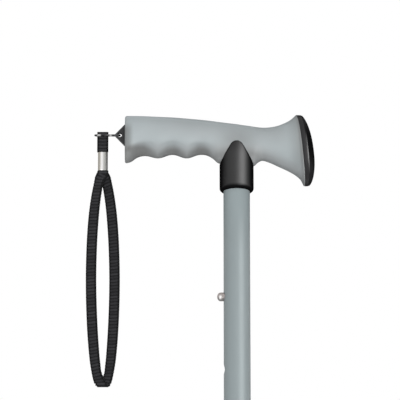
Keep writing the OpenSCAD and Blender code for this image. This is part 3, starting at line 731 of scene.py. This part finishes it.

# the underside is less blue, painted shade darkens the upper sides, and the crest in front is paler
heel_drop = (along - 0.016).math("MAXIMUM", 0.0) * 0.55
low_lip = (1 - (height + heel_drop).within(neck_z + 0.024, neck_z + 0.036)) * 0.85
grey = low_lip.mix(grey, (0.428, 0.440, 0.446, 1))
below_top = (neck_z + 0.0504) - along * 0.08 - height
upper = below_top.band(0.0015, 0.0060, 0.0085, 0.0210) * along.band(-0.080, -0.030, 0.026, 0.044)
upper = upper * (0.42 - along.within(-0.022, -0.004) * 0.03)
grey = upper.mix(grey, (0.302, 0.318, 0.325, 1))
crest = (1 - below_top.within(0.0012, 0.0058)) * (1 - along.within(-0.066, -0.036)) * 0.75
grey = crest.mix(grey, (0.53, 0.585, 0.61, 1))
# all these masks of painted shade mix the gel towards one dark grey
painted_light = rim_shade + tab_shade + arch_shade + lip_shade + pocket_shade * (finger * 0.55 + 0.4)
grey = painted_light.math("MINIMUM", 1.0).mix(grey, (0.19, 0.193, 0.19, 1))
touch = grain.bump(0.18, 0.00004)
close_finish(w, shader, Base_Color=grey, Roughness=cloud * 0.12 + grain * 0.06 + 0.46, Normal=touch)
dull_edge(w, shader, grey, 0.4, 0.9)
grip.data.materials.append(gel)
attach(grip, "upper")
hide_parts("grip_gel")

# End cap: a black moulding pressed into the heel on a stem. A charcoal rim band carries a glossy dome.
# The ends of the rim curl forward with the heel and lap over the gel a little.
cap_rim = 0.0041
cap_dome = 0.0057
cap_lean = math.radians(1.1)
cap_back = 0.00105
rim_line = [
    (0.0011, 0.990), (0.0012, 0.999), (0.0014, 1.003), (0.0024, 1.002), (0.0034, 1.001), (0.0038, 1.0),
    (0.0040, 0.996), (cap_rim, 0.990),
]
lap_width = 0.0023
lap_curl = np.array((0.0016, 0.0004))
rim_curl = np.array((0.0009, 0.0007))
dome_inset = 0.992
dome_power = 2.4
dome_round = 0.62
cap_rings = [grip_ring(1, inset, cap_back, grip_sides, curl=heel_curl) for inset in (0.3, 0.9, 0.97)]
for shift, inset in rim_line:
    past_lap = min(1.0, (shift - rim_line[0][0]) / lap_width)
    cap_rings.append(grip_ring(1, inset, shift, grip_sides, curl=lap_curl + (rim_curl - lap_curl) * past_lap))
rim_rings = len(cap_rings)
for degrees in range(6, 90, 4):
    inset = dome_inset * math.cos(math.radians(degrees))
    bulge = (1 - inset ** dome_power) ** dome_round
    cap_rings.append(grip_ring(1, inset, cap_rim + cap_dome * bulge, grip_sides, cap_lean * bulge, rim_curl))
cap_rings = np.array(cap_rings)
cap = add_mesh("heel_cap", cap_rings.reshape(-1, 3), *skin(cap_rings))

rim_black, w, shader = open_finish("charcoal rim", Specular_IOR_Level=0.15)
place = w.place()
grain = place.noise(2400.0, 2.0)
rub = place.noise(120.0, 3.0)
close_finish(
    w, shader, Base_Color=rub.mix((0.018, 0.018, 0.019, 1), (0.028, 0.028, 0.029, 1)),
    Roughness=grain * 0.1 + 0.45,
    Normal=grain.bump(0.15, 0.00004))
dull_edge(w, shader, (0.034, 0.034, 0.035, 1), 0.3, 0.8)
dome_black, w, shader = open_finish("gloss black dome", Specular_IOR_Level=0.6)
place = w.place()
haze = place.noise(150.0, 5.0, 0.6)
ripple = place.noise(60.0, 1.0)
cap_low, cap_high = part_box("end_cap")
from_centre = place.axis(2) - (cap_low.z + cap_high.z) / 2
ends = from_centre.math("ABSOLUTE").within(0.006, 0.019)
black = ends.mix(haze.mix((0.005, 0.005, 0.0055, 1), (0.010, 0.010, 0.0105, 1)), (0.027, 0.027, 0.028, 1))
close_finish(
    w, shader, Base_Color=black,
    Roughness=haze * 0.12 + 0.36,
    Normal=ripple.bump(0.05, 0.0002))
dull_edge(w, shader, black, 0.06, 0.3)
cap.data.materials.append(rim_black)
cap.data.materials.append(dome_black)
for face in cap.data.polygons:
    if min(face.vertices) >= (rim_rings - 1) * grip_sides:
        face.material_index = 1
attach(cap, "upper")
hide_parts("end_cap")

# Shaft: drawn aluminium tube with a satin grey coating, in the upper length and the three lower sections.
# The upper length has the row of holes for the height button.
coating, w, shader = open_finish("satin grey coating", Specular_IOR_Level=0.2)
place = w.place()
flake = w.node("ShaderNodeTexVoronoi", inputs={"Vector": place, "Scale": 5200.0})
drawn = w.node("ShaderNodeMapping", inputs={"Vector": place, "Scale": (700, 700, 12)})
lines = drawn.noise(1.0, 4.0)
handled = place.noise(35.0, 4.0)
tone = flake * 0.25 + lines * 0.35 + handled * 0.4
grey = tone.mix((0.273, 0.317, 0.327, 1), (0.315, 0.360, 0.370, 1))
close_finish(
    w, shader, Base_Color=grey, Metallic=flake * 0.08, Roughness=handled * 0.10 + lines * 0.08 + 0.38,
    Normal=lines.bump(0.06, 0.00003))
# painted shadow: close under the neck the gloss is taken off the coating, so the long highlight fades out
# there; the matt grey there is a little paler
neck_shadow = place.axis(2).within(neck_z - 0.052, neck_z - 0.004)
matt_grey = neck_shadow.mix((0.285, 0.33, 0.34, 1), (0.318, 0.368, 0.379, 1))
dull_edge(w, shader, matt_grey, 0.75, 1.0, neck_shadow * 0.95)
for node in ("upper_tube", "section_tube_2", "section_tube_3", "section_tube_4"):
    dress(node, coating)

# Height tube: bare drawn aluminium that slides in the upper tube, with fine lines along it.
# It holds the button and its spring, and the plug of the first fold is fixed in its lower end.
bare, w, shader = open_finish("drawn aluminium", Metallic=1.0)
place = w.place()
drawn = w.node("ShaderNodeMapping", inputs={"Vector": place, "Scale": (2200, 2200, 25)})
lines = drawn.noise(1.0, 5.0)
rub = place.noise(60.0, 3.0)
close_finish(
    w, shader, Base_Color=(lines * 0.6 + rub * 0.4).mix((0.52, 0.53, 0.54, 1), (0.70, 0.71, 0.72, 1)),
    Roughness=lines * 0.15 + rub * 0.1 + 0.22,
    Normal=lines.bump(0.12, 0.00004))
dress("adjust_tube", bare)

# Button, leaf spring and tip washer: plated steel. The button is a turned pin with a domed end, with a
# painted highlight and painted shade on its dome. It stands on a leaf bent double inside the height tube.
# The washer lies in the tip, under the last tube.
steel, w, shader = open_finish("plated steel", Metallic=1.0)
place = w.place()
fine = place.noise(1500.0, 3.0)
broad = place.noise(220.0, 2.0)
close_finish(
    w, shader, Base_Color=broad.mix((0.50, 0.50, 0.49, 1), (0.66, 0.66, 0.65, 1)),
    Roughness=fine * 0.14 + broad * 0.08 + 0.16,
    Normal=fine.bump(0.08, 0.00003))
dress("tip_washer", steel)

# the leaf is bent double: one arm carries the button, the other stays in the tube
leaf_low, leaf_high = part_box("snap_spring")
leaf_thick = 0.0006
bend_r = 0.0021
front_x = leaf_low.x + leaf_thick / 2
back_x = leaf_high.x - leaf_thick / 2
bend_z = leaf_low.z + leaf_thick / 2 + bend_r
pad_len = 0.0128
pad_z = leaf_high.z - pad_len
sloping = np.linspace(0.1, 0.9, 12)
leaf_line = [(front_x, z) for z in np.linspace(leaf_high.z, pad_z, 9)]
leaf_line += [(front_x + (-bend_r - front_x) * t, pad_z + (bend_z - pad_z) * t) for t in sloping]
leaf_line += [(x, bend_z + z) for x, z in arc(bend_r, 180, 361, 15)]
leaf_line += [(bend_r + (back_x - bend_r) * t, bend_z + (pad_z - bend_z) * t) for t in sloping]
leaf_line += [(back_x, z) for z in np.linspace(pad_z, leaf_high.z, 9)]
leaf_line = np.array(leaf_line)
leaf_way = np.gradient(leaf_line, axis=0)
leaf_way /= np.linalg.norm(leaf_way, axis=1)[:, None]
leaf_rings = []
for a, b in ((0.5, 0.49), (0.3, 0.5), (-0.3, 0.5), (-0.5, 0.49),
             (-0.5, -0.49), (-0.3, -0.5), (0.3, -0.5), (0.5, -0.49)):
    leaf_rings.append(np.stack([
        leaf_line[:, 0] + leaf_way[:, 1] * leaf_thick * a,
        np.full(len(leaf_line), (leaf_high.y - leaf_low.y) * b),
        leaf_line[:, 1] - leaf_way[:, 0] * leaf_thick * a,
    ], axis=1))
leaf_rings = np.stack(leaf_rings, axis=1)
leaf = add_mesh("button_leaf", leaf_rings.reshape(-1, 3), *skin(leaf_rings))
leaf.data.set_sharp_from_angle(angle=math.radians(40))
leaf.data.materials.append(steel)
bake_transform(leaf)
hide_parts("snap_spring")
pin, w, shader = open_finish("pin with painted highlight", Metallic=1.0)
place = w.place()
fine = place.noise(1500.0, 3.0)
pin_low, pin_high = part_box("snap_button")
pin_r = 0.0032
pin_mid = (pin_low + pin_high) / 2
side = place.axis(1).math("ABSOLUTE") * (1 / pin_r)
up = (place.axis(2) - pin_mid.z) * (1 / pin_r)
out = (pin_low.x - place.axis(0)) * (1 / pin_r)
# painted highlight: the face of the dome near its tip is painted near white; painted shade: the dome is
# darker below than above
painted_light = (side - up * 0.35 + (fine - 0.5) * 0.08).within(0.82, 1.05) * out.within(-1.3, -0.5)
painted_shade = up.within(-0.9, 0.2).mix((0.19, 0.182, 0.178, 1), (0.37, 0.332, 0.32, 1))
close_finish(
    w, shader, Base_Color=painted_light.mix(painted_shade, (0.92, 0.91, 0.90, 1)), Roughness=fine * 0.14 + 0.14,
    Normal=fine.bump(0.08, 0.00003))
dress("snap_button", pin)

# Joint collars: black mouldings fixed to the ends of the tubes. At each fold a tapered plug under one tube
# sits in a socket on top of the next. The end collar guides the height tube, and two anchors hold the knots
# of the cord.
for node in ("end_collar", "joint_plug_1", "joint_socket_1", "joint_plug_2", "joint_socket_2", "joint_plug_3",
             "joint_socket_3", "cord_anchor_top", "cord_anchor_bottom"):
    dress(node, moulding)

# Elastic cord: a braided black cord with a rubber heart, knotted at both ends, that pulls the sections
# together. It is shown in straight lengths, a short one below each fold and a long one above it.
cord_r = 0.002
cord_sides = 20
pivot_drop = 0.0049
fold_zs = [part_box(node)[1].z for node in ("joint_socket_1", "joint_socket_2", "joint_socket_3")]
pivots = [z - pivot_drop for z in fold_zs]
knot_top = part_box("cord_run_1")[1].z
knot_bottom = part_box("cord_run_4")[0].z
knot_r = 0.0045
bend_len = 0.012
cord_step = 0.0008
braid_pitch = 0.006
strand_count = 8

braid, w, shader = open_finish("braided elastic", Specular_IOR_Level=0.3, Sheen_Weight=0.1)
place = w.node("ShaderNodeUVMap", {"uv_map": "UVMap"})
round_about = place.axis(0) * (2 * math.pi * strand_count)
lengthwise = place.axis(1) * (2 * math.pi)
strands = (round_about + lengthwise).math("SINE") * (round_about - lengthwise).math("SINE") * 0.5 + 0.5
close_finish(
    w, shader, Base_Color=strands.mix((0.012, 0.012, 0.013, 1), (0.075, 0.075, 0.078, 1)),
    Roughness=strands * 0.2 + 0.6,
    Normal=strands.bump(0.5, 0.0003))


def knot_levels(middle, first, last):
    """Heights and radii of a lumpy knot about its middle height, between two angles."""
    levels = []
    for turn in np.linspace(first, last, 26):
        lump = 1 + 0.05 * math.sin(5 * turn)
        levels.append((middle - knot_r * math.cos(turn), max(cord_r * 0.3, knot_r * math.sin(turn) * lump)))
    return levels


def cord_length(name, low, high, knot=None):
    """A stretch of the cord on the shaft axis, with a knot at one end where it has one."""
    knot_deep = 2 * knot_r * 0.97
    levels = [(z, cord_r) for z in np.linspace(low, high, max(2, int((high - low) / cord_step)))]
    if knot == "top":
        levels = [level for level in levels if level[0] < high - knot_deep]
        levels += knot_levels(high - knot_r, 0.46, 3.0)
    if knot == "bottom":
        levels = [level for level in levels if level[0] > low + knot_deep]
        levels = knot_levels(low + knot_r, 0.14, 2.68) + levels
    turns = 2 * np.pi * np.arange(cord_sides) / cord_sides
    rings = []
    for z, radius in levels:
        level = np.full(cord_sides, z)
        rings.append(np.stack([radius * np.cos(turns), radius * np.sin(turns), level], axis=1))
    rings = np.array(rings)
    faces, uv = skin(rings)
    uv = np.array(uv)
    uv[:, 1] *= (levels[-1][0] - levels[0][0]) / braid_pitch
    made = add_mesh(name, rings.reshape(-1, 3), faces, uv)
    made.data.materials.append(braid)
    return made


upper_bodies = ["adjust", "section_2", "section_3", "section_4"]
tops = [knot_top] + [p - bend_len for p in pivots[:2]]
for i, pivot in enumerate(pivots):
    pulled = cord_length(f"cord_pulled_{i + 1}", pivot, tops[i], "top" if i == 0 else None)
    start = tops[i] - (2 * knot_r if i == 0 else 0)
    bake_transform(pulled)
    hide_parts(f"cord_run_{i + 1}")
    low = pivot - bend_len
    bent = cord_length(f"cord_bent_{i + 1}", low, pivot)
    bend = [(f"cord_{i + 1}", (0, 0, pivot)), (upper_bodies[i + 1], (0, 0, low))]
    if i != 1:
        # the outer folds turn the other way, so their bend is told from its lower end
        bend.reverse()
    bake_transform(bent)
    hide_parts(f"cord_run_{i + 2}")
last_cord = cord_length("cord_last", knot_bottom, pivots[2] - bend_len, "bottom")
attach(last_cord, "section_4")
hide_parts("cord_run_4")

# Tip: a black rubber ferrule with ribs round its neck, stretched over the last tube.
# Its tread grips the floor and is scuffed and dusty there.
rubber, w, shader = open_finish("matt rubber", Specular_IOR_Level=0.3)
place = w.place()
height = place.axis(2)
grain = place.noise(1400.0, 4.0)
dust = place.noise(160.0, 5.0, 0.65)
scuffed = (1 - height.within(0.0005, 0.009)) * dust.within(0.42, 0.62)
black = dust.mix((0.014, 0.014, 0.014, 1), (0.026, 0.026, 0.026, 1))
close_finish(
    w, shader, Base_Color=(scuffed * 0.5).mix(black, (0.085, 0.083, 0.078, 1)),
    Roughness=dust * 0.15 + scuffed * 0.1 + 0.62,
    Normal=grain.bump(0.25, 0.00008))
dress("rubber_tip", rubber)

# Studio: a pale floor and a white surround, which look brighter than the light they give.
# Three soft lamps: one low in front, a tall strip at the right for the long highlights, one behind.
floor_half = 3
floor_corners = [(sx * floor_half, sy * floor_half, 0) for sx, sy in ((-1, -1), (1, -1), (1, 1), (-1, 1))]
floor_mesh = bpy.data.meshes.new("floor")
floor_mesh.from_pydata(floor_corners, [], [(0, 1, 2, 3)])
floor = bpy.data.objects.new("floor", floor_mesh)
bpy.context.scene.collection.objects.link(floor)
pale, w, shader = open_finish("pale floor", Roughness=0.9, Emission_Strength=1.0)


def seen_ray(wire):
    """1 for the rays that show the surround itself: to the camera, in gloss and through glass."""
    seen = wire.node("ShaderNodeLightPath", output="Is Camera Ray")
    for ray in ("Is Glossy Ray", "Is Transmission Ray"):
        seen = seen.math("MAXIMUM", wire.node("ShaderNodeLightPath", output=ray))
    return seen


close_finish(
    w, shader, Base_Color=seen_ray(w).mix((0.55, 0.55, 0.55, 1), (0.86, 0.86, 0.86, 1)),
    Emission_Color=seen_ray(w).mix((0, 0, 0, 1), (0.42, 0.42, 0.42, 1)))
floor.data.materials.append(pale)

world = bpy.data.worlds.new("studio")
bpy.context.scene.world = world
world.use_nodes = True
w = Wire(world.node_tree)
background = world.node_tree.nodes["Background"]
background.inputs["Color"].default_value = (1, 1, 1, 1)
ambient = 0.47
w.tree.links.new((seen_ray(w) * (1 - ambient) + ambient).socket, background.inputs["Strength"])
lit_spot = Vector((0, 0, 0.78))


def lamp(name, side, rise, distance, width, height, power):
    """A soft lamp: side and rise are its angles from the front of the handle, in degrees."""
    data = bpy.data.lights.new(name, "AREA")
    data.shape = "RECTANGLE"
    data.size = width
    data.size_y = height
    data.energy = power
    made = bpy.data.objects.new(name, data)
    side = math.radians(side)
    rise = math.radians(rise)
    made.location = lit_spot + distance * Vector((
        math.sin(side) * math.cos(rise), -math.cos(side) * math.cos(rise), math.sin(rise)))
    made.rotation_euler = (lit_spot - made.location).to_track_quat("-Z", "Y").to_euler()
    made.visible_camera = False
    bpy.context.scene.collection.objects.link(made)
    return made


lamp("key", 3, -13, 2.2, 1.1, 0.5, 28).visible_glossy = False
lamp("strip", 38, 0, 1.7, 1.05, 1.3, 49).visible_diffuse = False
lamp("back", 200, 35, 2.6, 1.2, 1.0, 16).visible_glossy = False

scene = bpy.context.scene
scene.view_settings.view_transform = "Standard"
